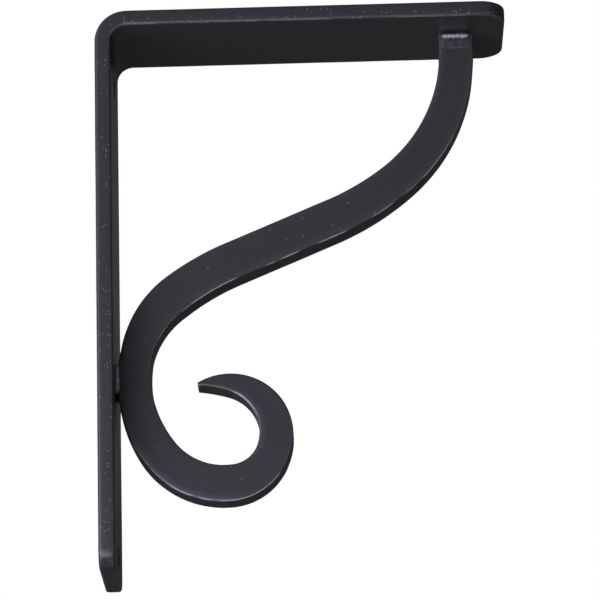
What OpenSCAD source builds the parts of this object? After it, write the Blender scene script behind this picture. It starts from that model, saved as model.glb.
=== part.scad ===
// Shelf bracket in wrought iron: a flat-bar strap bent to a right angle,
// braced by a scroll of thicker, narrower bar that is welded into the angle.
//
// X points out from the wall, Y runs along the wall and Z points up.
// The origin lies on the wall face, midway between the two screw holes.

/* [Strap] */
// Width of the flat bar
strap_w = 50.8; // [44:0.2:64]
// Thickness of the flat bar
strap_t = 6.35; // [5:0.05:8]
// Height of the wall leg, measured over the bend
wall_leg_h = 225.8; // [215:0.2:280]
// Reach of the shelf leg, measured from the wall
shelf_leg_l = 162.8; // [156:0.2:200]
// Inside radius of the bend between the legs
bend_r = 6.35; // [3:0.05:12]
// Radius of the corners at the lower end of the wall leg
foot_corner_r = 7; // [4:0.5:12]
// Radius of the corners at the free end of the shelf leg
shelf_corner_r = 10; // [4:0.5:14]
// Rounding along the bar's edges
strap_edge_r = 1.2; // [0.4:0.1:1.8]

/* [Screw holes] */
// Diameter of each screw hole
screw_hole_d = 5.5; // [4:0.1:7]
// Diameter of the countersink where it meets the face
countersink_d = 10.5; // [8.5:0.1:13]
// Included angle of the countersink
countersink_angle = 90; // [80:1:100]
// From the top of the shelf leg down to the upper hole
upper_hole_drop = 23; // [21:0.5:40]
// From the lower end of the wall leg up to the lower hole
lower_hole_rise = 9.5; // [8:0.5:30]

/* [Scroll] */
// Thickness of the scroll's bar, along the wall
scroll_t = 12; // [8:0.1:14]
// Rounding along the scroll's edges
scroll_edge_r = 0.8; // [0.3:0.1:1.5]
// From the shelf leg's free end back to the middle of the scroll's upper end
foot_setback = 19.4; // [17:0.2:28]
// Straight length of the scroll below the shelf leg
neck_l = 7.4; // [2:0.2:20]
// Radius of the shoulder
shoulder_r = 68.5; // [60:0.5:76]
// Angle that the shoulder turns through
shoulder_angle = 51; // [42:0.5:56]
// Radius of the easier bend from the shoulder into the straight run
slope_r = 106; // [90:1:120]
// Angle that this bend turns through
slope_angle = 16.4; // [10:0.1:20]
// Radius of the easy bend out of the straight run
ease_r = 100; // [80:1:120]
// Angle that this bend turns through
ease_angle = 15.4; // [10:0.1:20]
// Radius of the bend that turns the bar down along the wall leg
belly_r = 40.5; // [34:0.5:46]
// Radius of the stretch that lies against the wall leg
seat_r = 51; // [44:0.5:60]
// Angle that this stretch turns through
seat_angle = 46.5; // [38:0.5:52]
// Radius of the sweep from the wall leg towards the eye
sweep_r = 31.4; // [26:0.2:36]
// Angle that the sweep turns through
sweep_angle = 60.1; // [52:0.1:66]
// Radius of the tight bend under the eye
curl_r = 18.8; // [15:0.1:22]
// Angle that the tight bend turns through
curl_angle = 63; // [56:0.5:68]
// Radius of the eye's last bend before the bar starts to taper
eye_r = 23.8; // [21.5:0.1:26]
// Angle that this bend turns through
eye_angle = 10; // [6:0.5:16]

/* [Bar width, in the plane of the bracket] */
// Width of the scroll's bar where it meets the shelf leg
neck_w = 13.7; // [11:0.1:16]
// Width along the straight run
run_w = 15.4; // [12:0.1:17]
// Width where it comes down on the wall leg, the narrowest place
seat_w = 12.8; // [11:0.1:15]
// Width along the sweep below the wall weld
sweep_w = 14.7; // [12:0.1:16]
// Width round the eye, up to the taper
eye_w = 13.4; // [11:0.1:15]

/* [Tip] */
// Outer radius of the tapering end
horn_r = 24.6; // [23.5:0.1:25.5]
// Angle round the eye at which its inner edge starts to open out
tip_open_angle = 73; // [66:1:78]
// Inner radius of the last stretch, up to the tip
tip_inner_r = 66; // [56:1:76]
// Radius of the rounded tip
tip_r = 0.8; // [0.6:0.1:1]

/* [Welds] */
// Space between the scroll and the wall leg, bridged by the weld
weld_gap = 0.4; // [0.2:0.1:0.8]
// Radius of the beads under the shelf leg
shelf_bead_r = 1.6; // [1:0.1:2.5]
// Length of the beads under the shelf leg
shelf_bead_l = 11.2; // [8:0.2:12]
// Height of the dressed pads below those beads
pad_h = 5; // [3:0.5:8]
// Thickness of the dressed pads
pad_t = 0.3; // [0.2:0.1:0.6]
// Radius of the beads along the wall leg
wall_bead_r = 1.5; // [1:0.1:2.5]
// Length of the beads along the wall leg
wall_bead_l = 12; // [8:0.5:18]
// Distance from one ripple of a bead to the next
ripple = 1.7; // [1.2:0.1:2.5]

/* [Hidden] */
$fn = 96;
IRON = "#37383b";
WELD = "#46474a";

hole_spacing = wall_leg_h - upper_hole_drop - lower_hole_rise;
top_z = hole_spacing / 2 + upper_hole_drop;
low_z = -hole_spacing / 2 - lower_hole_rise;
shelf_under_z = top_z - strap_t;
bend_x = strap_t + bend_r;
bend_z = top_z - bend_x;
foot_x = shelf_leg_l - foot_setback;

// Stretches of the scroll that only touched would stay separate solids, so every
// other one is a hair slimmer and laps into its neighbours.
lap = 0.25;
lap_inset = 0.02;
// Both welds lie on slim stretches.
weld_y = lap_inset - scroll_t / 2;

// The scroll's middle line is a chain of [radius, turn] arcs. A negative turn
// goes clockwise. Headings are angles in the XZ plane, and -90 is down.
DOWN = -90;
shoulder = [[shoulder_r, -shoulder_angle], [slope_r, -slope_angle]];
run_heading = DOWN - shoulder_angle - slope_angle;
// The seat touches the wall leg where it heads straight down, a quarter along.
seat_lead = seat_angle / 4;
belly = [[ease_r, ease_angle], [belly_r, DOWN - seat_lead - run_heading - ease_angle]];
seat = [[seat_r, seat_angle]];
curl = [[sweep_r, sweep_angle], [curl_r, curl_angle], [eye_r, eye_angle]];
lower = concat(belly, seat, curl);

// Widths of the bar at the start and end of each bent stretch.
shoulder_w = (neck_w + run_w) / 2;
shoulder_widths = [neck_w, shoulder_w, run_w];
lower_widths = [run_w, run_w, seat_w, sweep_w, sweep_w, eye_w, eye_w];
touch_w = (3 * seat_w + sweep_w) / 4;

function arc_step(h, arc) =
    sign(arc[1]) * arc[0] * [sin(h + arc[1]) - sin(h), cos(h) - cos(h + arc[1])];
function heading(h, arcs, n) = n == 0 ? h : heading(h, arcs, n - 1) + arcs[n - 1][1];
function walk(p, h, arcs, n) = n == 0 ? p
    : walk(p, h, arcs, n - 1) + arc_step(heading(h, arcs, n - 1), arcs[n - 1]);
function polar(r, a) = r * [cos(a), sin(a)];

neck_end = [foot_x, shelf_under_z - neck_l];
run_start = walk(neck_end, DOWN, shoulder, 2);
// The run is as long as it takes for the seat to come to rest at the weld gap.
seat_x = strap_t + weld_gap + touch_w / 2;
to_seat = walk([0, 0], run_heading, concat(belly, [[seat_r, seat_lead]]), 3);
run_l = (seat_x - run_start[0] - to_seat[0]) / cos(run_heading);
run_end = run_start + polar(run_l, run_heading);
seat_z = run_end[1] + to_seat[1];

// The eye's centre, and the circles that bound the tapering tip.
eye_start = walk(run_end, run_heading, lower, 5);
eye_heading = heading(run_heading, lower, 5);
eye_c = eye_start + polar(eye_r, eye_heading + 90);
eye_in_r = eye_r - eye_w / 2;
eye_out_r = eye_r + eye_w / 2;
taper_angle = eye_heading + eye_angle - 90;
horn_c = eye_c + polar(eye_out_r - horn_r, taper_angle);
tip_inner_c = eye_c - polar(tip_inner_r - eye_in_r, tip_open_angle);

// The tip's circle touches the outer circle from inside, the inner from outside.
function circles_meet(a, ra, b, rb) =
    let (d = norm(b - a), u = (b - a) / d, k = (d * d + ra * ra - rb * rb) / (2 * d),
         q = sqrt(ra * ra - k * k))
    a + k * u + q * [u[1], -u[0]];
tip_c = circles_meet(horn_c, horn_r - tip_r, tip_inner_c, tip_inner_r + tip_r);
tip_outer_p = horn_c + (tip_c - horn_c) / norm(tip_c - horn_c) * horn_r;
tip_inner_p = tip_inner_c + (tip_c - tip_inner_c) / norm(tip_c - tip_inner_c) * tip_inner_r;

// Section of a bar with rounded edges, w along the first axis and t along the second.
module bar_section(w, t, r) {
    square([w - 2 * r, t], center = true);
    square([w, t - 2 * r], center = true);
    for (x = [-1, 1], y = [-1, 1])
        translate([x * (w / 2 - r), y * (t / 2 - r)]) circle(r);
}

// Half of such a section, from its middle plane out to one rounded edge.
module edge_section(reach, t, r) {
    translate([0, -t / 2]) square([reach - r, t]);
    translate([0, r - t / 2]) square([reach, t - 2 * r]);
    for (y = [-1, 1]) translate([reach - r, y * (t / 2 - r)]) circle(r);
}

// A bar's free end, pointing down: its last stretch, with corners of radius r.
module rounded_end(r) {
    inner_w = strap_w - 2 * r;
    for (side = [0, 1]) mirror([0, side, 0])
        translate([0, inner_w / 2, r]) rotate([90, 0, 90])
            rotate([0, 0, -90]) rotate_extrude(angle = 90)
                edge_section(r, strap_t, strap_edge_r);
    translate([0, inner_w / 2, r]) rotate([90, 0, 0])
        linear_extrude(inner_w) rotate(-90)
            edge_section(r, strap_t, strap_edge_r);
}

// A straight leg that hangs down from the bend, with its outer face at X = 0.
module leg(length, corner_r) {
    translate([strap_t / 2, 0, -length]) {
        rounded_end(corner_r);
        translate([0, 0, corner_r]) linear_extrude(length - corner_r)
            bar_section(strap_t, strap_w, strap_edge_r);
    }
}

module screw_hole(z) {
    sink = (countersink_d - screw_hole_d) / 2 / tan(countersink_angle / 2);
    spill = 1;
    translate([0, 0, z]) rotate([0, 90, 0]) {
        translate([0, 0, -spill]) cylinder(d = screw_hole_d, h = strap_t + 2 * spill);
        translate([0, 0, strap_t - sink])
            cylinder(d1 = screw_hole_d, d2 = countersink_d + 2 * spill * tan(countersink_angle / 2),
                h = sink + spill);
    }
}

module l_strap() {
    color(IRON) difference() {
        union() {
            translate([0, 0, bend_z]) leg(bend_z - low_z, foot_corner_r);
            translate([bend_x, 0, bend_z]) rotate([90, 0, 0]) rotate([0, 0, 90])
                rotate_extrude(angle = 90) translate([bend_r + strap_t / 2, 0])
                    bar_section(strap_t, strap_w, strap_edge_r);
            translate([bend_x, 0, top_z]) rotate([0, -90, 0]) mirror([1, 0, 0])
                leg(shelf_leg_l - bend_x, shelf_corner_r);
        }
        screw_hole(hole_spacing / 2);
        screw_hole(-hole_spacing / 2);
    }
}

// One side edge of a bent stretch, as [centre, radius]. The bar starts at p with
// heading h and its half width goes from reach[0] to reach[1]. Side 1 is the left.
function edge_arc(p, h, arc, reach, side) =
    let (a = p + polar(side * reach[0], h + 90),
         b = p + arc_step(h, arc) + polar(side * reach[1], h + arc[1] + 90),
         r = norm(b - a) / 2 / sin(abs(arc[1]) / 2),
         inward = sign(arc[1]) * [a[1] - b[1], b[0] - a[0]] / norm(b - a))
    [(a + b) / 2 + inward * r * cos(arc[1] / 2), r];

// One bent stretch of the scroll's bar, from point p at heading h, with the widths
// w[0] and w[1] at its ends. A slim one runs a little way into both neighbours.
module scroll_arc(p, h, arc, w, slim = false) {
    less = slim ? lap_inset : 0;
    extra = slim ? lap / arc[0] * 180 / PI : 0;
    side = sign(arc[1]);
    outer = edge_arc(p, h, arc, w / 2, -side);
    inner = edge_arc(p, h, arc, w / 2, side);
    centre = p + polar(arc[0], h + side * 90);
    from = h - side * (90 + extra);
    turn = arc[1] + 2 * side * extra;
    far = 2 * outer[1];
    intersection() {
        difference() {
            plate(outer[0], outer[1] - less, scroll_t - 2 * less);
            eye_cut(inner[0], inner[1] + less, scroll_t - 2 * less);
        }
        wedge([centre, centre + polar(far, from), centre + polar(far, from + turn / 2),
            centre + polar(far, from + turn)]);
    }
}

// One straight stretch of the scroll's bar, from point p at heading h.
module scroll_straight(p, h, length, w, slim = false) {
    less = slim ? lap_inset : 0;
    extra = slim ? lap : 0;
    translate([p[0], 0, p[1]]) rotate([0, 90 - h, 0]) translate([0, 0, -extra])
        linear_extrude(length + 2 * extra)
            bar_section(w - 2 * less, scroll_t - 2 * less, scroll_edge_r);
}

// A round plate of radius r about c, t thick, with its rim rounded as the bar's
// edges are.
module plate(c, r, t = scroll_t) {
    translate([c[0], 0, c[1]]) rotate([90, 0, 0]) rotate_extrude() intersection() {
        edge_section(r, t, min(scroll_edge_r, r - lap_inset));
        translate([0, -t / 2]) square([r, t]);
    }
}

// What a round hole of radius r about c takes away from a plate t thick, with the
// hole's mouths rounded over.
module eye_cut(c, r, t = scroll_t) {
    half_t = t / 2;
    spill = 1;
    translate([c[0], 0, c[1]]) rotate([90, 0, 0]) rotate_extrude() {
        translate([0, -half_t - spill]) square([r, t + 2 * spill]);
        for (side = [0, 1]) mirror([0, side]) difference() {
            translate([r - spill, half_t - scroll_edge_r])
                square([spill + scroll_edge_r, scroll_edge_r + spill]);
            translate([r + scroll_edge_r, half_t - scroll_edge_r]) circle(scroll_edge_r);
        }
    }
}

// A wedge-shaped block through the bar, with the given corners in the XZ plane.
module wedge(corners) {
    rotate([90, 0, 0]) linear_extrude(2 * scroll_t, center = true) polygon(corners);
}

// The tapering end, from the eye's full width to the rounded tip.
module tip() {
    far = 2 * eye_out_r;
    mid_angle = (taper_angle + tip_open_angle) / 2;
    start_angle = taper_angle - lap / eye_r * 180 / PI;
    outward = (tip_outer_p - horn_c) / horn_r;
    intersection() {
        difference() {
            plate(horn_c, horn_r - lap_inset, scroll_t - 2 * lap_inset);
            eye_cut(eye_c, eye_in_r + lap_inset, scroll_t - 2 * lap_inset);
        }
        wedge([eye_c, eye_c + polar(far, start_angle), eye_c + polar(far, mid_angle),
            eye_c + polar(far, tip_open_angle + 1)]);
    }
    intersection() {
        difference() {
            plate(horn_c, horn_r);
            eye_cut(tip_inner_c, tip_inner_r);
        }
        wedge([eye_c, eye_c + polar(far, tip_open_angle), tip_outer_p + far * outward,
            tip_outer_p, tip_inner_p]);
    }
    plate(tip_c, tip_r);
}

module scroll_brace() {
    color(IRON) {
        scroll_straight([foot_x, shelf_under_z - lap], DOWN, neck_l - lap, neck_w, slim = true);
        for (i = [0 : 1])
            scroll_arc(walk(neck_end, DOWN, shoulder, i), heading(DOWN, shoulder, i),
                shoulder[i], [shoulder_widths[i], shoulder_widths[i + 1]], slim = i == 1);
        scroll_straight(run_start, run_heading, run_l, run_w);
        for (i = [0 : len(lower) - 1])
            scroll_arc(walk(run_end, run_heading, lower, i), heading(run_heading, lower, i),
                lower[i], [lower_widths[i], lower_widths[i + 1]], slim = i % 2 == 0);
        tip();
    }
}

// A weld bead along +Z, rippled as the torch left it and centred on the origin.
// It lies in the corner between the +X and +Y faces, with its axis out at "at".
module bead(r, length, at) {
    count = ceil((length - 2 * r) / ripple);
    pitch = (length - 2 * r) / count;
    intersection() {
        translate(at) rotate_extrude() intersection() {
            for (i = [0 : count])
                translate([0, r - length / 2 + i * pitch]) circle(r);
            translate([0, -length / 2]) square([r, length]);
        }
        translate([0, 0, -length / 2]) cube([4 * r, 4 * r, length]);
    }
}

module shelf_weld() {
    r = shelf_bead_r;
    color(WELD) for (side = [0, 1]) mirror([0, side, 0])
        translate([foot_x, weld_y, shelf_under_z]) {
            rotate([0, 90, 0]) rotate([0, 0, -90]) bead(r, shelf_bead_l, [0.25 * r, 0.9 * r]);
            translate([0, 0, -pad_h / 2 - r]) rotate([90, 0, 0])
                linear_extrude(pad_t) square([shelf_bead_l, pad_h], center = true);
        }
}

module wall_weld() {
    color(WELD) for (side = [0, 1]) mirror([0, side, 0])
        translate([strap_t, weld_y, seat_z]) rotate([0, 0, -90])
            bead(wall_bead_r, wall_bead_l, [0.15 * wall_bead_r, 0.15 * wall_bead_r]);
}

l_strap();
scroll_brace();
shelf_weld();
wall_weld();
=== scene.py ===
"""Looks of a welded wrought iron shelf bracket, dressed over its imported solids.

The bracket is flat bar bent to a right angle, braced by a scroll of narrower bar,
and sprayed with satin black lacquer after welding. Lengths are in millimetres in
the row frame: X out from the wall, Y along it, Z up. Meshes are made in metres.
"""

import logging
import math
from dataclasses import dataclass, field
from enum import Enum
from itertools import pairwise

import bmesh
import bpy
from mathutils import Matrix, Vector, noise


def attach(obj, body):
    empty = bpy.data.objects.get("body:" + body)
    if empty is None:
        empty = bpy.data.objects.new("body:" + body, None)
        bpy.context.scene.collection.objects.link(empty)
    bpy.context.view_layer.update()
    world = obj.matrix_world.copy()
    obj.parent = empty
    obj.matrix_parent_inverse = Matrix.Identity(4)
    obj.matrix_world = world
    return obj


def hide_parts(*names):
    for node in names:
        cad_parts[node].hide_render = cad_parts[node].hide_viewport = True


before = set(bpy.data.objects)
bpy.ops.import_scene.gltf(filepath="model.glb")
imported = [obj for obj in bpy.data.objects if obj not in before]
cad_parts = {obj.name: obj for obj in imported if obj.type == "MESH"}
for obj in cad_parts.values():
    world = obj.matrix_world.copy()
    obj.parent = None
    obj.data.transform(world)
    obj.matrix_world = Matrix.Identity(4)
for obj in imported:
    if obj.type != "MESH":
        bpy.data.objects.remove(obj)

Point2 = tuple[float, float]
Point3 = tuple[float, float, float]
Colour = tuple[float, float, float, float]
Face = tuple[int, ...]
Socket = bpy.types.NodeSocket
Tree = bpy.types.NodeTree

MM = 0.001
logging.basicConfig(level=logging.INFO, format="%(name)s: %(message)s")
log = logging.getLogger("bracket")


def polar(radius: float, angle: float) -> Vector:
    """Return the 2-D vector of that length at an angle in degrees."""
    return Vector((radius * math.cos(math.radians(angle)), radius * math.sin(math.radians(angle))))


def smoothstep(low: float, high: float, value: float) -> float:
    """Return 0 below low, 1 above high and an eased value between them."""
    share = min(max((value - low) / (high - low), 0.0), 1.0)
    return share * share * (3 - 2 * share)


def linear(hex_colour: str) -> Colour:
    """Return an sRGB hex colour such as 26282b as linear RGBA."""
    channels = [int(hex_colour[i : i + 2], 16) / 255 for i in (0, 2, 4)]
    straight = [c / 12.92 if c <= 0.04045 else ((c + 0.055) / 1.055) ** 2.4 for c in channels]
    return (straight[0], straight[1], straight[2], 1.0)


def add_node(
    tree: Tree,
    kind: str,
    settings: dict[str, object] | None = None,
    inputs: dict[int | str, object] | None = None,
) -> bpy.types.Node:
    """Add a node to a tree with its settings, values and links.

    Args:
        tree: The node tree.
        kind: The node's type, such as ShaderNodeTexNoise.
        settings: Attributes of the node by name.
        inputs: Input sockets by name or number, each with a value or the output
            socket that feeds it.

    Returns:
        The new node.
    """
    node = tree.nodes.new(kind)
    for name, value in (settings or {}).items():
        setattr(node, name, value)
    for key, value in (inputs or {}).items():
        if isinstance(value, Socket):
            tree.links.new(value, node.inputs[key])
        else:
            node.inputs[key].default_value = value
    return node


def combine(tree: Tree, operation: str, *values: Socket | float) -> Socket:
    """Combine values in turn by one operation.

    Args:
        tree: The tree to add the nodes to.
        operation: The operation, such as MULTIPLY.
        values: Two or more values.

    Returns:
        The result's socket.
    """
    result = values[0]
    for value in values[1:]:
        sides = {0: result, 1: value}
        result = add_node(tree, "ShaderNodeMath", {"operation": operation}, sides).outputs[0]
    return result


def blend(tree: Tree, share: Socket, first: Socket | Colour, second: Socket | Colour) -> Socket:
    """Return a mix of two colours, which is the second where the share is 1."""
    # For colours, the node takes them in sockets 6 and 7 and gives them in 2.
    sides = {0: share, 6: first, 7: second}
    return add_node(tree, "ShaderNodeMix", {"data_type": "RGBA"}, sides).outputs[2]


def ramp(
    tree: Tree, value: Socket, limits: Point2, levels: Point2 = (0.0, 1.0), eased: bool = True
) -> Socket:
    """Return a level that changes while a value runs between two limits.

    Args:
        tree: The tree to add the node to.
        value: What the level depends on.
        limits: The values where the change starts and ends.
        levels: The levels there.
        eased: Whether the change starts and ends gently.

    Returns:
        The level's socket.
    """
    way = {"interpolation_type": "SMOOTHSTEP" if eased else "LINEAR"}
    names = ("Value", "From Min", "From Max", "To Min", "To Max")
    inputs = dict(zip(names, (value, *limits, *levels)))
    return add_node(tree, "ShaderNodeMapRange", way, inputs).outputs["Result"]


def emptied_tree(owner: bpy.types.Material | bpy.types.World) -> Tree:
    """Return the node tree of a material or world, without nodes."""
    owner.use_nodes = True
    owner.node_tree.nodes.clear()
    return owner.node_tree


def add_object(name: str, data: bpy.types.ID) -> bpy.types.Object:
    """Return a new object in the scene, made from a mesh, a lamp or a camera."""
    added = bpy.data.objects.new(name, data)
    bpy.context.scene.collection.objects.link(added)
    return added


class Finish(Enum):
    """The bracket's finishes, by the record's material slots."""

    LACQUERED_BAR = "black_iron"
    LACQUERED_WELD = "weld_metal"


Materials = dict[Finish, bpy.types.Material]


@dataclass(frozen=True)
class SatinLacquer:
    """Satin black lacquer, sprayed over hot-rolled bar that was heated and hammered.

    Rolling and hammering leave slow, shallow hollows, and spraying leaves fine
    orange peel, so that reflections are soft and waver a little. The arrises get a
    lighter colour in patches, partly real burnishing from handling and partly a
    painted highlight, held back on upward faces as painted shade; streaks of the
    lower arris crests get a pale painted highlight that stands in for the glint of
    the low lamps. Dust that fell on it while wet stands as pale nibs. Spans,
    depths and heights are in millimetres.
    """

    name: str = "satin_lacquer_on_forged_bar"
    coat_hex: str = "292c31"
    warm_coat_hex: str = "2c2927"
    # Lighter arris colour: partly real burnishing and partly a painted highlight.
    burnish_and_sheen_hex: str = "3c3d41"
    # Pale painted highlight on the lower arris crests, standing in for a lamp's glint.
    glint_hex: str = "a0a1a5"
    nib_hex: str = "949491"
    roughness: float = 0.36
    burnished_roughness: float = 0.27
    ior: float = 1.5
    hollow_span: float = 14.0
    hollow_depth: float = 0.05
    peel_span: float = 0.9
    peel_depth: float = 0.006
    drift_span: float = 42.0
    # Patches of the lighter arris colour, which is partly wear and partly painted highlight.
    scuff_span: float = 2.2
    scuff_limits: Point2 = (0.35, 0.65)
    scuff_least: float = 0.35
    # Less of the lighter arris colour on upward faces: painted shade from the dark space above.
    top_limits: Point2 = (0.5, 0.0)
    top_least: float = 0.3
    # Where the pale painted highlight goes: facing down, on the crest, in streaks.
    under_limits: Point2 = (-0.15, -0.5)
    crest_limits: Point2 = (0.7, 1.0)
    streak_span: float = 16.0
    streak_limits: Point2 = (0.42, 0.54)
    nib_spacing: float = 1.3
    nib_radius: float = 0.24
    nib_height: float = 0.04

    def build(self) -> bpy.types.Material:
        """Make the material.

        Returns:
            The material.
        """
        material = bpy.data.materials.new(self.name)
        tree = emptied_tree(material)
        spot = add_node(tree, "ShaderNodeTexCoord").outputs
        scale = {0: spot["Object"], "Scale": 1 / MM}
        in_mm = add_node(tree, "ShaderNodeVectorMath", {"operation": "SCALE"}, scale).outputs[0]
        facing = add_node(tree, "ShaderNodeSeparateXYZ", inputs={0: spot["Normal"]})
        upward = facing.outputs["Z"]

        def noise_at(span: float, detail: float) -> Socket:
            """Return noise whose features are span millimetres apart."""
            inputs = {"Vector": in_mm, "Scale": 1 / span, "Detail": detail}
            return add_node(tree, "ShaderNodeTexNoise", inputs=inputs).outputs["Fac"]

        def stored(name: str) -> Socket:
            """Return a share that is stored on the mesh."""
            return add_node(tree, "ShaderNodeAttribute", {"attribute_name": name}).outputs["Fac"]

        drift = noise_at(self.drift_span, 3.0)
        coat = blend(tree, drift, linear(self.coat_hex), linear(self.warm_coat_hex))
        # The arrises get a lighter colour in patches, partly real handling wear and partly a
        # painted highlight; painted shade keeps it down on upward faces.
        arris = stored("arris")
        scuffs = noise_at(self.scuff_span, 3.0)
        wear_and_sheen_patches = ramp(tree, scuffs, self.scuff_limits, (self.scuff_least, 1.0))
        painted_top_shade = ramp(tree, upward, self.top_limits, (self.top_least, 1.0), eased=False)
        wear_and_sheen = combine(tree, "MULTIPLY", arris, wear_and_sheen_patches, painted_top_shade)
        worn_and_lit = blend(tree, wear_and_sheen, coat, linear(self.burnish_and_sheen_hex))
        # Underneath, streaks of the arris crest get a pale painted highlight for the glint of the
        # low lamps.
        under = ramp(tree, upward, self.under_limits)
        highlight_crest = ramp(tree, arris, self.crest_limits)
        streaks = ramp(tree, noise_at(self.streak_span, 2.0), self.streak_limits)
        painted_glint = combine(tree, "MULTIPLY", under, highlight_crest, streaks)
        worn_and_lit = blend(tree, painted_glint, worn_and_lit, linear(self.glint_hex))

        nib = self._nibs(tree, in_mm, stored("dusty"))
        colour = blend(tree, nib, worn_and_lit, linear(self.nib_hex))
        polish = (self.roughness, self.burnished_roughness)
        rough = ramp(tree, wear_and_sheen, (0.0, 1.0), polish, eased=False)
        reliefs = (
            (noise_at(self.hollow_span, 2.0), self.hollow_depth),
            (noise_at(self.peel_span, 1.0), self.peel_depth),
            (nib, self.nib_height),
        )
        below: dict[str, Socket] = {}
        for height, depth in reliefs:
            inputs = {"Height": height, "Strength": 1.0, "Distance": depth * MM, **below}
            bump = add_node(tree, "ShaderNodeBump", inputs=inputs)
            below = {"Normal": bump.outputs["Normal"]}
        inputs = {"Base Color": colour, "Roughness": rough, "IOR": self.ior, **below}
        shader = add_node(tree, "ShaderNodeBsdfPrincipled", inputs=inputs)
        add_node(tree, "ShaderNodeOutputMaterial", inputs={"Surface": shader.outputs[0]})
        return material

    def _nibs(self, tree: Tree, in_mm: Socket, dusty: Socket) -> Socket:
        """Return a mask of dust nibs: a few small grains, more where dust settles.

        Args:
            tree: The tree to add the nodes to.
            in_mm: The place on the piece, in millimetres.
            dusty: The share of places that caught a grain.

        Returns:
            The mask, 1 on a grain and 0 off it.
        """
        inputs = {"Vector": in_mm, "Scale": 1 / self.nib_spacing}
        cells = add_node(tree, "ShaderNodeTexVoronoi", inputs=inputs).outputs
        edge = self.nib_radius / self.nib_spacing
        grain = ramp(tree, cells["Distance"], (edge, 0.5 * edge))
        pick = add_node(tree, "ShaderNodeSeparateColor", inputs={0: cells["Color"]}).outputs[0]
        return combine(tree, "MULTIPLY", grain, combine(tree, "LESS_THAN", pick, dusty))


def tube(first: int, rings: int, sides: int) -> list[Face]:
    """Join rings of vertices into a closed tube.

    Args:
        first: The number of the first vertex; the others follow it ring by ring.
        rings: How many rings there are.
        sides: How many vertices each ring has.

    Returns:
        The tube's faces: an end, the quads and the other end.
    """
    faces: list[Face] = [tuple(reversed(range(first, first + sides)))]
    for ring in range(first, first + (rings - 1) * sides, sides):
        for k in range(sides):
            a, b = ring + k, ring + (k + 1) % sides
            faces.append((a, b, b + sides, a + sides))
    faces.append(tuple(range(first + (rings - 1) * sides, first + rings * sides)))
    return faces


def make_piece(
    name: str,
    points: list[Point3],
    faces: list[Face],
    finish: Finish,
    materials: Materials,
    node: str,
) -> bpy.types.Object:
    """Make a dressed mesh object that stands for one CAD node.

    Args:
        name: The object's name.
        points: Vertices in millimetres.
        faces: Vertex indices of each face of the closed mesh.
        finish: The finish it wears.
        materials: The materials by finish.
        node: The CAD node it replaces.

    Returns:
        The object, riding on the root body.
    """
    mesh = bpy.data.meshes.new(name)
    mesh.from_pydata([Vector(p) * MM for p in points], [], faces)
    mesh.validate()
    # Turn every face outward.
    work = bmesh.new()
    work.from_mesh(mesh)
    bmesh.ops.recalc_face_normals(work, faces=work.faces)
    work.to_mesh(mesh)
    work.free()
    mesh.materials.append(materials[finish])
    piece = add_object(name, mesh)
    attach(piece, "root")
    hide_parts(node)
    return piece


def set_shares(piece: bpy.types.Object, **shares: list[float]) -> None:
    """Store numbers from 0 to 1 on the vertices, by the names its material reads."""
    for name, values in shares.items():
        attribute = piece.data.attributes.new(name, "FLOAT", "POINT")
        attribute.data.foreach_set("value", values)


def sink_faces(mesh: bpy.types.Mesh, span: float, depth: float) -> None:
    """Sink a mesh's surface in slow, shallow hollows, as rolling and hammering do.

    Args:
        mesh: The mesh, in metres.
        span: Distance from one hollow to the next, in millimetres.
        depth: The deepest hollow, in millimetres.
    """
    for vertex in mesh.vertices:
        wave = 0.5 + 0.7 * noise.noise(vertex.co / MM / span)
        sink = depth * min(max(wave, 0.0), 1.0)
        vertex.co -= vertex.normal * sink * MM


def smooth_by_angle(mesh: bpy.types.Mesh, degrees: float) -> None:
    """Shade a mesh smooth, except for its sharp edges.

    Args:
        mesh: The mesh, which is changed.
        degrees: The angle past which an edge stays crisp.
    """
    mesh.polygons.foreach_set("use_smooth", [True] * len(mesh.polygons))
    mesh.set_sharp_from_angle(angle=math.radians(degrees))
    mesh.update()


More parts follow.
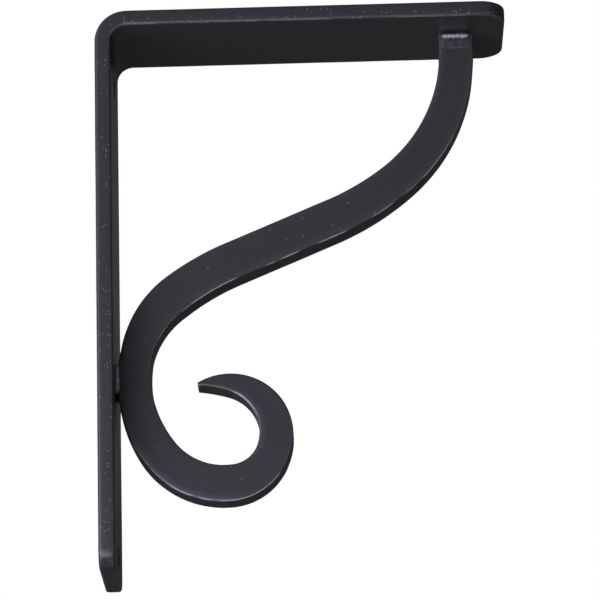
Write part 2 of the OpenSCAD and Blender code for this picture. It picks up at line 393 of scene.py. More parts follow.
@dataclass
class Strap:
    """Flat bar bent once to a right angle, with countersunk holes in the wall leg.

    The last fields say how far the wear and painted highlight of an arris and the
    dust along the rim reach, and how strong they are.
    """

    width: float = 50.8
    thickness: float = 6.35
    wall_leg: float = 225.8
    shelf_leg: float = 162.8
    bend_radius: float = 6.35
    foot_corner: float = 7.0
    shelf_corner: float = 10.0
    edge_radius: float = 1.2
    hole_diameter: float = 5.5
    sink_diameter: float = 10.5
    upper_hole_drop: float = 23.0
    lower_hole_rise: float = 9.5
    step: float = 1.5
    across: int = 20
    corner_steps: int = 10
    edge_steps: int = 5
    hole_steps: int = 72
    cut_margin: float = 1.0
    hollow_span: float = 16.0
    hollow_depth: float = 0.05
    # The strap's share of arris colour, kept lower so that its painted highlight along the top
    # stays dim.
    arris_wear_and_glint: float = 0.78
    sink_arris: Point2 = (0.2, 0.7)
    rim_reach: Point2 = (0.2, 1.5)
    band_start: Point2 = (-0.5, 0.5)
    band_fade: float = 0.6
    dust_overall: float = 0.03
    dust_at_rim: float = 0.08
    dust_in_band: float = 0.5
    crisp_angle: float = 32.0

    @property
    def hole_height(self) -> float:
        """Return the height of the upper hole; the lower one is as far below 0."""
        return (self.wall_leg - self.upper_hole_drop - self.lower_hole_rise) / 2

    @property
    def top(self) -> float:
        """Return the height of the shelf leg's upper face."""
        return self.hole_height + self.upper_hole_drop

    @property
    def corner(self) -> float:
        """Return the outer radius of the bend."""
        return self.thickness + self.bend_radius

    @property
    def turn(self) -> float:
        """Return the length of the bend along the bar's middle plane."""
        return math.pi / 2 * (self.bend_radius + self.thickness / 2)

    @property
    def length(self) -> float:
        """Return the length of the bar along its middle plane."""
        return self.wall_leg + self.shelf_leg - 2 * self.corner + self.turn

    def place(self, along: float, side: float, lift: float) -> Vector:
        """Return a point of the bent bar in the row frame.

        Args:
            along: Distance along the middle plane, from the wall leg's lower end.
            side: Distance across the bar from its middle.
            lift: Distance from the middle plane towards the inner faces.

        Returns:
            The point, in millimetres.
        """
        half = self.thickness / 2
        wall_run = self.wall_leg - self.corner
        if along <= wall_run:
            return Vector((half + lift, side, self.top - self.wall_leg + along))
        if along >= wall_run + self.turn:
            past = along - wall_run - self.turn
            return Vector((self.corner + past, side, self.top - half - lift))
        angle = (along - wall_run) / self.turn * math.pi / 2
        reach = self.bend_radius + half - lift
        height = self.top - self.corner + reach * math.sin(angle)
        return Vector((self.corner - reach * math.cos(angle), side, height))

    def flatten(self, point: Vector) -> Point3:
        """Find where on the flat bar a point of the bent bar lies.

        Args:
            point: The point, in millimetres.

        Returns:
            Its along, side and lift, as place takes them.
        """
        half = self.thickness / 2
        wall_run = self.wall_leg - self.corner
        up = point.z - (self.top - self.corner)
        out = point.x - self.corner
        if up <= 0:
            return wall_run + up, point.y, point.x - half
        if out >= 0:
            return wall_run + self.turn + out, point.y, self.top - half - point.z
        angle = math.atan2(up, -out)
        lift = self.bend_radius + half - math.hypot(up, out)
        return wall_run + angle / (math.pi / 2) * self.turn, point.y, lift

    def _grid(self, inset: float) -> list[list[Point2]]:
        """Lay a grid on the flat bar.

        Args:
            inset: How far inside the bar's outline the grid ends, all round.

        Returns:
            Rows of points across the bar, as along and side.
        """

        def end(corner: float) -> list[Point2]:
            """Return how far in from the bar's end and how wide its first rows are."""
            turns = [90 * i / self.corner_steps for i in range(self.corner_steps + 1)]
            arc = [polar(corner - inset, turn) for turn in turns]
            return [(corner - p.x, self.width / 2 - corner + p.y) for p in arc]

        run = self.length - self.foot_corner - self.shelf_corner
        count = round(run / self.step)
        reach = self.width / 2 - inset
        rows = end(self.foot_corner)
        rows += [(self.foot_corner + run * i / count, reach) for i in range(1, count)]
        rows += [(self.length - along, half) for along, half in reversed(end(self.shelf_corner))]
        return [
            [(along, half * (2 * k / self.across - 1)) for k in range(self.across + 1)]
            for along, half in rows
        ]

    def _rim_levels(self) -> list[Point2]:
        """Return the rings round the rim.

        Returns:
            The inset and lift of each, from the outer face to the inner one.
        """
        half, radius = self.thickness / 2, self.edge_radius
        turns = [math.radians(90 * j / self.edge_steps) for j in range(1, self.edge_steps + 1)]
        curve = [(radius * (1 - math.sin(a)), half - radius * (1 - math.cos(a))) for a in turns]
        third = (half - radius) / 3
        outer = [(inset, -lift) for inset, lift in curve]
        return outer + [(0.0, -third), (0.0, third)] + list(reversed(curve))

    def _shell(self) -> tuple[list[Point3], list[Face]]:
        """Make the bent bar, before its holes are cut.

        Returns:
            Its vertices in millimetres, and its faces.
        """
        points: list[Point3] = []
        faces: list[Face] = []
        half = self.thickness / 2

        def add(flat: Point2, lift: float) -> int:
            """Add a vertex and return its number."""
            points.append(tuple(self.place(flat[0], flat[1], lift)))
            return len(points) - 1

        def round_it(grid: list[list]) -> list:
            """Return a grid's outermost entries, in order round it."""
            right = [row[-1] for row in grid[1:]]
            left = [row[0] for row in grid[1:-1]]
            return list(grid[0]) + right + list(reversed(grid[-1][:-1])) + list(reversed(left))

        rings: list[list[int]] = []
        for face in (-1, 1):
            grid = [[add(p, face * half) for p in row] for row in self._grid(self.edge_radius)]
            for low, high in zip(grid[:-1], grid[1:]):
                for k in range(self.across):
                    quad = (low[k], low[k + 1], high[k + 1], high[k])
                    faces.append(quad[:: -face])
            rings.append(round_it(grid))
        for inset, lift in self._rim_levels():
            rings.insert(-1, [add(p, lift) for p in round_it(self._grid(inset))])
        for low, high in zip(rings[:-1], rings[1:]):
            for k, after in enumerate(low[1:] + low[:1]):
                faces.append((low[k], after, high[(k + 1) % len(high)], high[k]))
        return points, faces

    def _hole_cutter(self, height: float) -> bpy.types.Object:
        """Make the solid that cuts one countersunk hole.

        Args:
            height: The hole's height.

        Returns:
            The cutter, in metres.
        """
        hole, sink = self.hole_diameter / 2, self.sink_diameter / 2
        # The countersink widens at 45 degrees, and so does the cutter's part outside.
        depth, margin, sides = sink - hole, self.cut_margin, self.hole_steps
        profile = [(-margin, hole), (self.thickness - depth, hole), (self.thickness, sink)]
        profile.append((self.thickness + margin, sink + margin))
        points: list[Point3] = []
        for along, radius in profile:
            for k in range(sides):
                spoke = polar(radius, 360 * k / sides)
                points.append((along, spoke.x, height + spoke.y))
        mesh = bpy.data.meshes.new("hole_cutter")
        faces = tube(0, len(profile), sides)
        mesh.from_pydata([Vector(p) * MM for p in points], [], faces)
        return add_object("hole_cutter", mesh)

    def _cut_holes(self, piece: bpy.types.Object) -> None:
        """Cut both screw holes out of the bar.

        Args:
            piece: The bar, whose mesh is replaced.
        """
        for height in (self.hole_height, -self.hole_height):
            cutter = self._hole_cutter(height)
            cut = piece.modifiers.new("hole", "BOOLEAN")
            cut.object, cut.operation, cut.solver = cutter, "DIFFERENCE", "EXACT"
            graph = bpy.context.evaluated_depsgraph_get()
            done = bpy.data.meshes.new_from_object(piece.evaluated_get(graph))
            piece.modifiers.clear()
            piece.data = done
            cutter_mesh = cutter.data
            bpy.data.objects.remove(cutter)
            bpy.data.meshes.remove(cutter_mesh)

    def _inset(self, along: float, side: float) -> float:
        """Measure how far inside the flat bar's outline a point lies.

        Args:
            along: Distance from the wall leg's lower end.
            side: Distance from the bar's middle.

        Returns:
            The distance to the outline.
        """
        at_foot = along < self.length / 2
        corner = self.foot_corner if at_foot else self.shelf_corner
        end = along if at_foot else self.length - along
        past, wide = corner - end, abs(side) - (self.width / 2 - corner)
        if past > 0 and wide > 0:
            return corner - math.hypot(past, wide)
        return min(self.width / 2 - abs(side), end)

    def _shade(self, piece: bpy.types.Object) -> None:
        """Store on each vertex how near an arris it is, and how much dust it caught.

        Args:
            piece: The finished bar.
        """
        arris, dusty = [], []
        sink = self.sink_diameter / 2
        half = self.thickness / 2
        for vertex in piece.data.vertices:
            along, side, lift = self.flatten(vertex.co / MM)
            inset = self._inset(along, side)
            away = max(inset, half - abs(lift))
            near = 1 - smoothstep(0.5 * self.edge_radius, 1.2 * self.edge_radius, away)
            hub = math.hypot(side, abs(vertex.co.z / MM) - self.hole_height)
            if along < self.wall_leg and lift > 0:
                near = max(near, 1 - smoothstep(*self.sink_arris, abs(hub - sink)))
            arris.append(self.arris_wear_and_glint * near)
            rim = 1 - smoothstep(*self.rim_reach, inset)
            band = 1 - smoothstep(half - self.band_fade, half, lift)
            band *= smoothstep(*self.band_start, lift)
            dusty.append(self.dust_overall + rim * (self.dust_at_rim + self.dust_in_band * band))
        set_shares(piece, arris=arris, dusty=dusty)

    def build(self, materials: Materials) -> bpy.types.Object:
        """Make the dressed strap.

        Args:
            materials: The materials by finish.

        Returns:
            The strap.
        """
        points, faces = self._shell()
        piece = make_piece(
            "bent_flat_bar", points, faces, Finish.LACQUERED_BAR, materials, "l_strap"
        )
        self._cut_holes(piece)
        sink_faces(piece.data, self.hollow_span, self.hollow_depth)
        self._shade(piece)
        smooth_by_angle(piece.data, self.crisp_angle)
        return piece


@dataclass(frozen=True)
class Arc:
    """One bend of a bar: the radius of its middle line, and its turn in degrees."""

    radius: float
    turn: float


@dataclass(frozen=True)
class Station:
    """A cross-section of the scroll: where its right and left edges lie in XZ."""

    right: Vector
    left: Vector


@dataclass
class Scroll:
    """Narrower bar bent to an S, lying against the wall leg and drawn out to a tip.

    It starts under the shelf leg with the neck, runs over the shoulder and the
    ease to the seat at the wall leg, and ends in the curl and its thin tip.
    """

    neck_width: float = 13.7
    run_width: float = 15.4
    seat_width: float = 12.8
    sweep_width: float = 14.7
    eye_width: float = 13.4
    thickness: float = 12.0
    edge_radius: float = 0.8
    foot_setback: float = 19.4
    neck: float = 7.4
    shoulder: tuple[Arc, ...] = (Arc(68.5, -51.0), Arc(106.0, -16.4))
    ease: Arc = Arc(100.0, 15.4)
    belly_radius: float = 40.5
    seat: Arc = Arc(51.0, 46.5)
    curl: tuple[Arc, ...] = (Arc(31.4, 60.1), Arc(18.8, 63.0), Arc(23.8, 10.0))
    horn_radius: float = 24.6
    open_angle: float = 73.0
    tip_inner_radius: float = 66.0
    tip_radius: float = 0.8
    weld_gap: float = 0.4
    step: float = 1.2
    edge_steps: int = 4
    flat_steps: int = 5
    tip_steps: int = 6
    hollow_span: float = 11.0
    hollow_depth: float = 0.06
    arris_fade: float = 0.4
    dust_overall: float = 0.02
    crisp_angle: float = 40.0
    strap: Strap = field(default_factory=Strap)

    stations: list[Station] = field(default_factory=list)
    seat_height: float = 0.0

    def _bar(self, place: Vector, heading: float, width: float) -> Station:
        """Return the bar's section at a place of its middle line."""
        return Station(
            place + polar(width / 2, heading - 90), place + polar(width / 2, heading + 90)
        )

    def _bend(
        self, place: Vector, heading: float, arc: Arc, widths: Point2
    ) -> tuple[Vector, float]:
        """Run the bar round an arc, adding its stations.

        Args:
            place: Where the arc starts.
            heading: Which way the bar runs there, in degrees.
            arc: The arc.
            widths: The bar's width at the start and at the end.

        Returns:
            Where the arc ends, and the heading there.
        """
        end, finish = heading + arc.turn, place + self._reach(heading, (arc,))
        start, stop = self._bar(place, heading, widths[0]), self._bar(finish, end, widths[1])
        length = abs(math.radians(arc.turn)) * arc.radius
        count = max(2, round(length / self.step))
        for k in range(1, count + 1):
            right = on_arc(start.right, stop.right, arc.turn, k / count)
            left = on_arc(start.left, stop.left, arc.turn, k / count)
            self.stations.append(Station(right, left))
        return finish, end

    def _run(self, place: Vector, heading: float, length: float, width: float) -> Vector:
        """Run the bar straight on, adding its stations.

        Args:
            place: Where the straight starts.
            heading: Which way the bar runs, in degrees.
            length: How long the straight is.
            width: The bar's width.

        Returns:
            Where the straight ends.
        """
        count = max(1, round(length / self.step))
        for k in range(1, count + 1):
            here = place + polar(length * k / count, heading)
            self.stations.append(self._bar(here, heading, width))
        return place + polar(length, heading)

    def _lay_out(self) -> None:
        """Fill in the stations, from under the shelf leg to the tip."""
        strap = self.strap
        place = Vector((strap.shelf_leg - self.foot_setback, strap.top - strap.thickness))
        heading = -90.0
        self.stations.append(self._bar(place, heading, self.neck_width))
        place = self._run(place, heading, self.neck, self.neck_width)
        between = (self.neck_width + self.run_width) / 2
        upper = (self.neck_width, between, self.run_width)
        for arc, widths in zip(self.shoulder, pairwise(upper)):
            place, heading = self._bend(place, heading, arc, widths)
        # The run is as long as it takes for the seat to rest a weld gap off the leg.
        lead = self.seat.turn / 4
        belly = Arc(self.belly_radius, -90.0 - lead - heading - self.ease.turn)
        ahead = self._reach(heading, (self.ease, belly, Arc(self.seat.radius, lead)))
        touch_width = (3 * self.seat_width + self.sweep_width) / 4
        seat_x = strap.thickness + self.weld_gap + touch_width / 2
        length = (seat_x - place.x - ahead.x) / math.cos(math.radians(heading))
        place = self._run(place, heading, length, self.run_width)
        self.seat_height = place.y + ahead.y
        lower = [self.run_width] * 2 + [self.seat_width] + [self.sweep_width] * 2
        lower += [self.eye_width] * 2
        for arc, widths in zip((self.ease, belly, self.seat, *self.curl), pairwise(lower)):
            place, heading = self._bend(place, heading, arc, widths)
        self._draw_out(place, heading)

    @staticmethod
    def _reach(heading: float, arcs: tuple[Arc, ...]) -> Vector:
        """Work out how far a chain of arcs carries the bar.

        Args:
            heading: Which way the bar runs at the start, in degrees.
            arcs: The arcs in order.

        Returns:
            The step from the chain's start to its end.
        """
        total = Vector((0.0, 0.0))
        for arc in arcs:
            side = math.copysign(90, arc.turn)
            total += polar(arc.radius, heading + side)
            heading += arc.turn
            total -= polar(arc.radius, heading + side)
        return total

    def _draw_out(self, place: Vector, heading: float) -> None:
        """Add the stations of the tapering end, from the eye's end to the tip.

        Args:
            place: Where the eye ends.
            heading: Which way the bar runs there, in degrees.
        """
        eye_radius = self.curl[-1].radius
        eye = place + polar(eye_radius, heading + 90)
        inner, outer = eye_radius - self.eye_width / 2, eye_radius + self.eye_width / 2
        start = heading - 90
        horn = eye + polar(outer - self.horn_radius, start)
        inner_centre = eye - polar(self.tip_inner_radius - inner, self.open_angle)
        reach = self.tip_inner_radius + self.tip_radius
        tip = touching_circle(horn, self.horn_radius - self.tip_radius, inner_centre, reach)
        outer_end = horn + (tip - horn).normalized() * self.horn_radius
        inner_end = inner_centre + (tip - inner_centre).normalized() * self.tip_inner_radius
        last_right = angle_of(outer_end - eye)
        last_left = angle_of(inner_end - eye)
        count = round(math.radians(last_right - start) * eye_radius / self.step)
        for k in range(1, count + 1):
            share = k / count
            right_angle = start + (last_right - start) * share
            left_angle = start + (last_left - start) * share
            if left_angle <= self.open_angle:
                left = eye + polar(inner, left_angle)
            else:
                left = along_ray(eye, left_angle, inner_centre, self.tip_inner_radius)
            right = along_ray(eye, right_angle, horn, self.horn_radius)
            self.stations.append(Station(right, left))
        # Round the tip itself, from both edges towards its foremost point.
        first = angle_of(outer_end - tip)
        sweep = (angle_of(inner_end - tip) - first) % 360
        for k in range(1, self.tip_steps):
            turn = sweep / 2 * k / self.tip_steps
            right = tip + polar(self.tip_radius, first + turn)
            left = tip + polar(self.tip_radius, first + sweep - turn)
            self.stations.append(Station(right, left))

    def _section(self, station: Station) -> list[tuple[Point3, float]]:
        """Make the vertices round one section.

        Args:
            station: Where the section's edges lie.

        Returns:
            The vertices in millimetres, each with how near an arris it is.
        """
        across = station.left - station.right
        half_w = across.length / 2
        middle = (station.left + station.right) / 2
        step = across.normalized()
        half_t = self.thickness / 2
        radius = min(self.edge_radius, 0.9 * half_w)
        ring: list[tuple[Point3, float]] = []

        def add(along: float, side: float, arris: float) -> None:
            """Add a vertex, along the section's width and across the bracket."""
            place = middle + step * along
            ring.append(((place.x, side, place.y), arris))

        quarters = ((1, 1, 0.0), (-1, 1, 90.0), (-1, -1, 180.0), (1, -1, 270.0))
        for number, (right, back, start) in enumerate(quarters):
            hub_w, hub_t = right * (half_w - radius), back * (half_t - radius)
            for k in range(self.edge_steps + 1):
                out = polar(radius, start + 90 * k / self.edge_steps)
                near = 1 - abs(2 * k / self.edge_steps - 1) * self.arris_fade
                add(hub_w + out.x, hub_t + out.y, near)
            after = quarters[(number + 1) % 4]
            end_w, end_t = after[0] * (half_w - radius), after[1] * (half_t - radius)
            last = polar(radius, start + 90)
            for k in range(1, self.flat_steps):
                share = k / self.flat_steps
                wide = hub_w + last.x + (end_w - hub_w) * share
                add(wide, hub_t + last.y + (end_t - hub_t) * share, 0.0)
        return ring

    def build(self, materials: Materials) -> bpy.types.Object:
        """Make the dressed scroll.

        Args:
            materials: The materials by finish.

        Returns:
            The scroll.
        """
        self._lay_out()
        points: list[Point3] = []
        arris: list[float] = []
        for station in self.stations:
            for point, share in self._section(station):
                points.append(point)
                arris.append(share)
        rings = len(self.stations)
        faces = [face[::-1] for face in tube(0, rings, len(points) // rings)]
        piece = make_piece(
            "scroll_bar", points, faces, Finish.LACQUERED_BAR, materials, "scroll_brace"
        )
        sink_faces(piece.data, self.hollow_span, self.hollow_depth)
        set_shares(piece, arris=arris, dusty=[self.dust_overall] * len(points))
        smooth_by_angle(piece.data, self.crisp_angle)
        return piece


def on_arc(start: Vector, end: Vector, turn: float, share: float) -> Vector:
    """Return the point at a share of an arc between two points.

    Args:
        start: Where the arc starts.
        end: Where it ends.
        turn: How far it turns on the way, in degrees, to the left if positive.
        share: How far along it the point lies, from 0 to 1.

    Returns:
        The point.
    """
    chord, half = end - start, math.radians(turn) / 2
    rise = chord.length / 2 / math.tan(half)
    centre = (start + end) / 2 + Vector((-chord.y, chord.x)).normalized() * rise
    return centre + Matrix.Rotation(2 * half * share, 2) @ (start - centre)


def angle_of(step: Vector) -> float:
    """Return the angle of a 2-D vector in degrees, from 0 to 360."""
    return math.degrees(math.atan2(step.y, step.x)) % 360


def along_ray(start: Vector, angle: float, centre: Vector, radius: float) -> Vector:
    """Find where a ray from inside a circle meets it.

    Args:
        start: Where the ray starts.
        angle: Which way it goes, in degrees.
        centre: The circle's centre.
        radius: The circle's radius.

    Returns:
        The point.
    """
    way = polar(1.0, angle)
    offset = centre - start
    near = offset.dot(way)
    return start + way * (near + math.sqrt(radius * radius - offset.length_squared + near * near))


def touching_circle(a: Vector, reach_a: float, b: Vector, reach_b: float) -> Vector:
    """Find the centre of a circle that touches two others.

    Args:
        a: The first circle's centre.
        reach_a: How far from it the point lies.
        b: The second circle's centre.
        reach_b: How far from it the point lies.

    Returns:
        The point, on the right of the way from a to b.
    """
    gap = (b - a).length
    way = (b - a) / gap
    along = (gap * gap + reach_a * reach_a - reach_b * reach_b) / (2 * gap)
    off = math.sqrt(reach_a * reach_a - along * along)
    return a + way * along + Vector((way.y, -way.x)) * off


@dataclass
class Bead:
    """A lumpy weld bead in the corner of two faces, with a dressed pad beside it."""

    name: str
    node: str
    corner: Point3
    along: Point3
    down: Point3
    length: float
    radius: float
    centre_out: float
    centre_down: float
    pad_height: float = 0.0
    pad_thickness: float = 0.3
    ripple: float = 1.7
    ripple_depth: float = 0.03
    lump_span: float = 2.6
    lump_depth: float = 0.09
    fullness: float = 0.93
    # Where round the bead its painted highlight line lies, and how narrow it is.
    highlight_angle: float = 15.0
    highlight_power: int = 6
    seed: float = 0.0
    sides: int = 24
    rings: int = 60
    pad_columns: int = 24
    pad_rows: int = 14
    least_radius: float = 0.02
    crisp_angle: float = 50.0

    @property
    def _highlight_share(self) -> list[float]:
        """Return each vertex's share of the painted highlight along the bead's crest."""
        spokes = (360 * k / self.sides - self.highlight_angle for k in range(self.sides))
        return [max(0.0, math.cos(math.radians(a))) ** self.highlight_power for a in spokes]

    def _radius_at(self, share: float) -> float:
        """Return the bead's radius at a share of its length, lumps and all.

        Args:
            share: How far along the bead, from 0 to 1.

        Returns:
            The radius, which falls to 0 at both ends.
        """
        reach = 2 * share - 1
        ends = math.sqrt(max(0.0, 1 - abs(reach) ** 6))
        place = share * self.length
        wave = 1 + self.ripple_depth * math.cos(2 * math.pi * place / self.ripple)
        lump = self.lump_depth * noise.noise(Vector((place / self.lump_span, self.seed, 0.0)))
        return self.radius * ends * (wave * self.fullness + lump)

    def _frame(self, side: float) -> tuple[Vector, Vector, Vector, Vector]:
        """Return the corner on one side of the bar, and the ways along, down and out."""
        corner = Vector((self.corner[0], self.corner[1] * side, self.corner[2]))
        return corner, Vector(self.along), Vector(self.down), Vector((0, side, 0))

    def _ring(self, share: float, side: float) -> list[Point3]:
        """Make one section of the bead, round its axis.

        Args:
            share: How far along the bead, from 0 to 1.
            side: 1 behind the bar and -1 in front of it.

        Returns:
            The section's vertices, in millimetres.
        """
        corner, along, down, out = self._frame(side)
        base = corner + along * (share - 0.5) * self.length
        radius = max(self._radius_at(share), self.least_radius)
        points = []
        for k in range(self.sides):
            ray = polar(radius, 360 * k / self.sides)
            reach = max(self.centre_out + ray.x, 0.0)
            drop = max(self.centre_down + ray.y, 0.0)
            points.append(tuple(base + out * reach + down * drop))
        return points

    def build(self, materials: Materials) -> bpy.types.Object:
        """Make the dressed beads on both sides of the scroll.

        Args:
            materials: The materials by finish.

        Returns:
            The beads, with their pads.
        """
        points: list[Point3] = []
        faces: list[Face] = []
        highlight_crest: list[float] = []
        for side in (-1.0, 1.0):
            faces += tube(len(points), self.rings + 1, self.sides)
            for ring in range(self.rings + 1):
                points += self._ring(ring / self.rings, side)
                highlight_crest += self._highlight_share
            if self.pad_height:
                self._add_pad(points, faces, side)
                highlight_crest += [0.0] * (len(points) - len(highlight_crest))
        piece = make_piece(self.name, points, faces, Finish.LACQUERED_WELD, materials, self.node)
        # The crest share is stored as the arris share, so the material paints a pale highlight
        # along the crest.
        set_shares(piece, arris=highlight_crest, dusty=[0.0] * len(points))
        smooth_by_angle(piece.data, self.crisp_angle)
        return piece

    def _add_pad(self, points: list[Point3], faces: list[Face], side: float) -> None:
        """Add the thin dressed pad that the bead ran down the bar.

        Args:
            points: The vertices, which get the pad's as well.
            faces: The faces, which get the pad's as well.
            side: 1 behind the bar and -1 in front of it.
        """
        corner, along, down, out = self._frame(side)
        columns, rows = self.pad_columns, self.pad_rows

        def lift(across: float, drop: float) -> float:
            """Return the pad's thickness, ragged and thinning out at its edges."""
            edge = max((1 - abs(across) ** 8) * (1 - drop**6), 0.0)
            rag = 0.75 + 0.5 * noise.noise(Vector((across * 3, drop * 3 + self.seed, side * 5)))
            return self.pad_thickness * edge**0.5 * min(rag, 1.0)

        starts = []
        for raised in (True, False):
            starts.append(len(points))
            for j in range(rows + 1):
                for k in range(columns + 1):
                    across, drop = 2 * k / columns - 1, j / rows
                    place = corner + along * across * self.length / 2
                    place += down * (self.centre_down + drop * self.pad_height)
                    if raised:
                        place += out * lift(across, drop)
                    points.append(tuple(place))
        front, back = starts
        wide = columns + 1
        for j in range(rows):
            for k in range(columns):
                a, b = front + j * wide + k, back + j * wide + k
                faces.append((a, a + 1, a + wide + 1, a + wide))
                faces.append((b, b + wide, b + wide + 1, b + 1))
        rim = list(range(columns))
        rim += [j * wide + columns for j in range(rows)]
        rim += [rows * wide + k for k in range(columns, 0, -1)]
        rim += [j * wide for j in range(rows, 0, -1)]
        for here, after in zip(rim, rim[1:] + rim[:1]):
            faces.append((front + after, front + here, back + here, back + after))


def direction(azimuth: float, elevation: float) -> Vector:
    """Return the unit vector towards an azimuth, 0 being in front, and an elevation."""
    flat, rise = polar(1.0, azimuth - 90), polar(1.0, elevation)
    return Vector((flat.x * rise.x, flat.y * rise.x, rise.y))


@dataclass(frozen=True)
class Lamp:
    """A square softbox that faces the bracket, placed by angles in degrees.

    Azimuth 0 is in front of the bracket and 90 is on the shelf leg's free side.
    Lengths are in metres.
    """

    name: str
    azimuth: float
    elevation: float
    watts: float
    distance: float = 1.6
    size: float = 0.8
    tint: str = "ecf1ff"


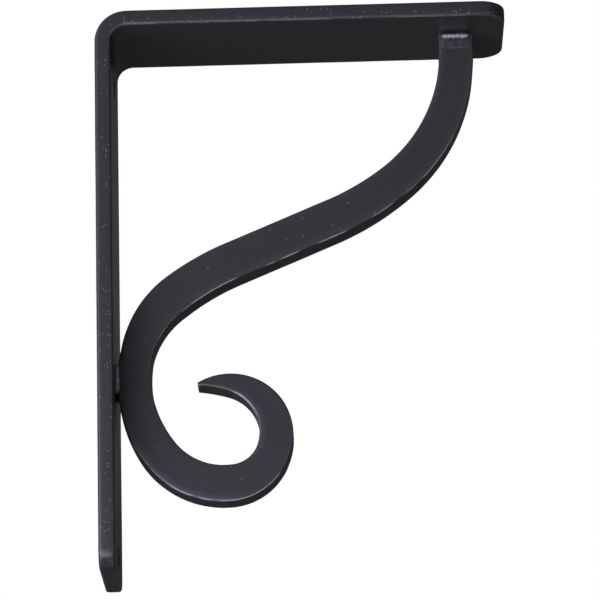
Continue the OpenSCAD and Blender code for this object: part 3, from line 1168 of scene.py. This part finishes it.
@dataclass
class Studio:
    """Pale floor, soft lamps, plain world and the camera, in metres and degrees."""

    floor_height: float = -2.6
    floor_size: float = 1.8
    floor_hex: str = "dcdcda"
    floor_roughness: float = 0.9
    floor_glow: float = 0.75
    floor_mirrored: float = 0.35
    lens: float = 240.0
    camera_place: Point3 = (0.09594, -1.50840, -0.44867)
    pitch: float = 16.75
    yaw: float = -0.653
    roll: float = -1.314
    world_strength: float = 0.07
    backdrop_rise: float = 17.0
    backdrop_spread: float = 3.0
    middle: Point3 = (0.08, 0.0, 0.0)
    lamps: tuple[Lamp, ...] = (
        Lamp("front_softbox", 0.0, 17.0, 0.2),
        Lamp("upper_left_softbox", -45.0, 15.0, 2.4),
        Lamp("right_softbox", 35.0, 0.0, 2.5),
        Lamp("main_softbox", -26.0, -15.0, 13.0, size=0.9),
        Lamp("left_softbox", -42.0, -5.0, 12.0, size=1.0),
        Lamp("low_front_softbox", -8.0, -28.0, 3.0, size=0.3),
        Lamp("low_left_softbox", -55.0, -35.0, 6.0),
        Lamp("high_left_softbox", -60.0, 45.0, 2.5),
        Lamp("wall_side_softbox", -130.0, 0.0, 2.5),
    )

    def _floor(self) -> None:
        """Lay the pale floor."""
        half = self.floor_size / 2
        mesh = bpy.data.meshes.new("floor")
        square = [(-half, -half), (half, -half), (half, half), (-half, half)]
        mesh.from_pydata([(x, y, self.floor_height) for x, y in square], [], [(0, 1, 2, 3)])
        material = bpy.data.materials.new("matt_paper_floor")
        tree = emptied_tree(material)
        # Seen directly, the paper glows as under its own lamps, without lighting the
        # bracket. The lacquer mirrors a part of that glow.
        inputs = {
            "Base Color": linear(self.floor_hex),
            "Roughness": self.floor_roughness,
            "Emission Color": linear(self.floor_hex),
            "Emission Strength": self._shown(tree, self.floor_glow, mirrored=self.floor_mirrored),
        }
        shader = add_node(tree, "ShaderNodeBsdfPrincipled", inputs=inputs)
        add_node(tree, "ShaderNodeOutputMaterial", inputs={"Surface": shader.outputs[0]})
        mesh.materials.append(material)
        floor = add_object("floor", mesh)

    @staticmethod
    def _shown(
        tree: Tree, strength: float, rest: float = 0.0, mirrored: Socket | float = 1.0
    ) -> Socket:
        """Return a glow for what the camera, glass or a glossy surface shows.

        Args:
            tree: The tree to add its nodes to.
            strength: The glow where it is shown.
            rest: The glow for every other ray.
            mirrored: How much of it a glossy surface shows.

        Returns:
            The strength's socket.
        """
        rays = add_node(tree, "ShaderNodeLightPath").outputs
        glossy = combine(tree, "MULTIPLY", rays["Is Glossy Ray"], mirrored)
        direct = (rays["Is Camera Ray"], rays["Is Transmission Ray"])
        share = combine(tree, "MAXIMUM", *direct, glossy)
        return ramp(tree, share, (0.0, 1.0), (rest, strength), eased=False)

    def _world(self) -> None:
        """Set a dim room with white paper behind the bracket."""
        world = bpy.data.worlds.new("plain_studio")
        bpy.context.scene.world = world
        tree = emptied_tree(world)
        # The lacquer mirrors the paper only where the paper hangs: all of it within
        # the spread, and none of it from about 1.4 times the spread.
        way = add_node(tree, "ShaderNodeTexCoord").outputs["Generated"]
        sides = {0: way, 1: direction(180.0, self.backdrop_rise)}
        near = add_node(tree, "ShaderNodeVectorMath", {"operation": "DOT_PRODUCT"}, sides)
        edge = math.cos(math.radians(self.backdrop_spread))
        paper = ramp(tree, near.outputs["Value"], (2 * edge - 1, edge))
        strength = self._shown(tree, 1.0, self.world_strength, paper)
        inputs = {"Color": (1.0, 1.0, 1.0, 1.0), "Strength": strength}
        light = add_node(tree, "ShaderNodeBackground", inputs=inputs)
        add_node(tree, "ShaderNodeOutputWorld", inputs={"Surface": light.outputs[0]})

    def _lamps(self) -> None:
        """Hang the lamps."""
        for lamp in self.lamps:
            light = bpy.data.lights.new(lamp.name, "AREA")
            light.shape, light.size = "SQUARE", lamp.size
            light.energy = lamp.watts
            light.color = linear(lamp.tint)[:3]
            holder = add_object(lamp.name, light)
            away = direction(lamp.azimuth, lamp.elevation)
            holder.location = Vector(self.middle) + away * lamp.distance
            holder.rotation_euler = (-away).to_track_quat("-Z", "Y").to_euler()

    def _camera(self) -> None:
        """Stand the camera below the bracket, looking up at it."""
        pitch, yaw, roll = (math.radians(a) for a in (self.pitch, self.yaw, self.roll))
        flat = math.cos(pitch)
        ahead = Vector((math.sin(yaw) * flat, math.cos(yaw) * flat, math.sin(pitch)))
        right = ahead.cross(Vector((0, 0, 1))).normalized()
        up = right.cross(ahead)
        tilted_right = right * math.cos(roll) + up * math.sin(roll)
        tilted_up = up * math.cos(roll) - right * math.sin(roll)
        data = bpy.data.cameras.new("camera")
        data.lens = self.lens
        camera = add_object("camera", data)
        turn = Matrix((tilted_right, tilted_up, -ahead)).transposed()
        camera.matrix_world = Matrix.Translation(self.camera_place) @ turn.to_4x4()
        bpy.context.scene.camera = camera

    def build(self) -> None:
        """Set up the whole studio."""
        self._floor()
        self._world()
        self._lamps()
        self._camera()
        bpy.context.scene.view_settings.view_transform = "Standard"


def main() -> None:
    """Dress the bracket and set up its studio."""
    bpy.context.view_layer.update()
    # The same coat is thinner over the beads, so they look greyer and glossier, and
    # their crests get a pale painted highlight.
    thin_lacquer = SatinLacquer(
        name="thin_lacquer_on_weld_metal",
        coat_hex="343539",
        warm_coat_hex="353435",
        # The pale painted highlight along the bead crests.
        burnish_and_sheen_hex="a8a9ac",
        roughness=0.3,
    )
    materials = {
        Finish.LACQUERED_BAR: SatinLacquer().build(),
        Finish.LACQUERED_WELD: thin_lacquer.build(),
    }
    strap = Strap()
    scroll = Scroll(strap=strap)
    pieces = [strap.build(materials), scroll.build(materials)]
    half = scroll.thickness / 2
    shelf_bead = Bead(
        name="shelf_weld_beads",
        node="shelf_weld",
        corner=(strap.shelf_leg - scroll.foot_setback, half, strap.top - strap.thickness),
        along=(1, 0, 0),
        down=(0, 0, -1),
        length=11.2,
        radius=1.6,
        centre_out=0.4,
        centre_down=1.44,
        pad_height=5.0,
    )
    wall_bead = Bead(
        name="wall_weld_beads",
        node="wall_weld",
        corner=(strap.thickness, half, scroll.seat_height),
        along=(0, 0, 1),
        down=(1, 0, 0),
        length=12.0,
        radius=1.5,
        centre_out=0.225,
        centre_down=0.225,
        seed=3.0,
    )
    pieces += [shelf_bead.build(materials), wall_bead.build(materials)]
    Studio().build()
    for piece in pieces:
        log.info("%s has %d faces", piece.name, len(piece.data.polygons))


if __name__ == "__main__":
    main()
